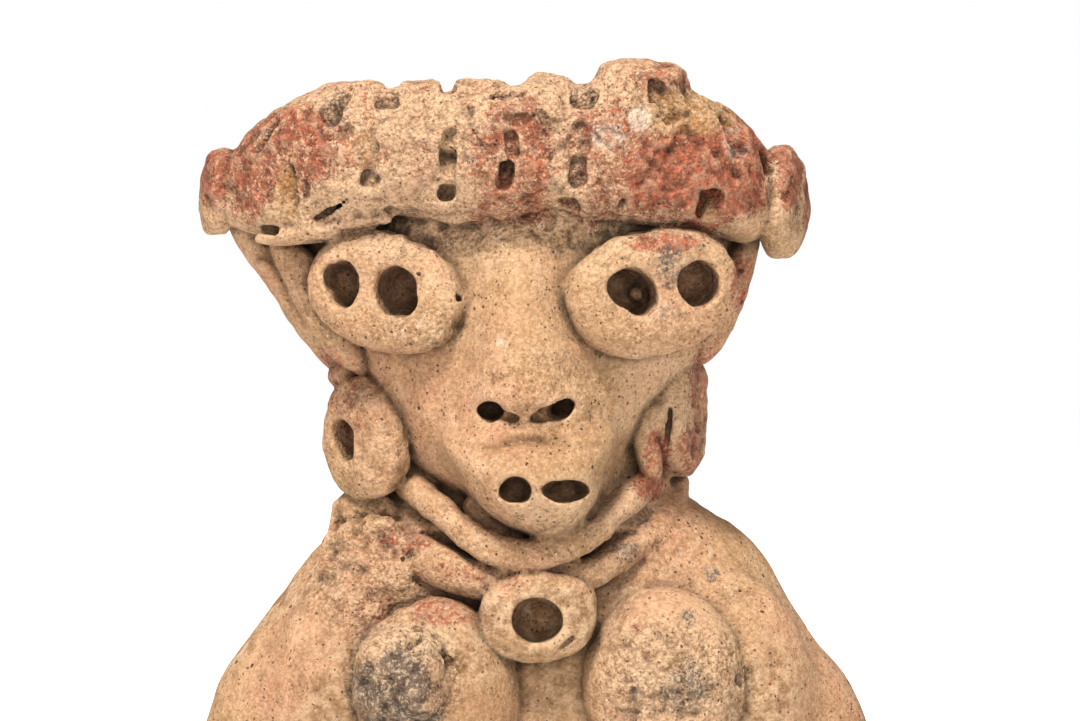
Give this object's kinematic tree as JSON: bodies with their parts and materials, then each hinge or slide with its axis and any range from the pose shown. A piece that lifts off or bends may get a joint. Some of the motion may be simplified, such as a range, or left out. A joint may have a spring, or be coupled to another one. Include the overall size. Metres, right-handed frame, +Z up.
{
  "type": "fertility figure bust",
  "caption": "Hand-modelled fired clay bust of a woman with a notched headdress, pellet eyes, ear spools and a ring pendant, cut flat below to stand by itself.",
  "frame": {"origin": "middle of the flat cut underneath, on the surface that the bust stands on", "axes": "+Z up, the face looks along -Y, +X to the viewer's right as the viewer faces it"},
  "size_m": [0.0728, 0.0345, 0.0761],
  "materials": {
    "fired_clay": "matte, unglazed, with worn red slip on the headdress"
  },
  "bodies": {
    "root": {"figure": "fired_clay"}
  },
  "joints": []
}
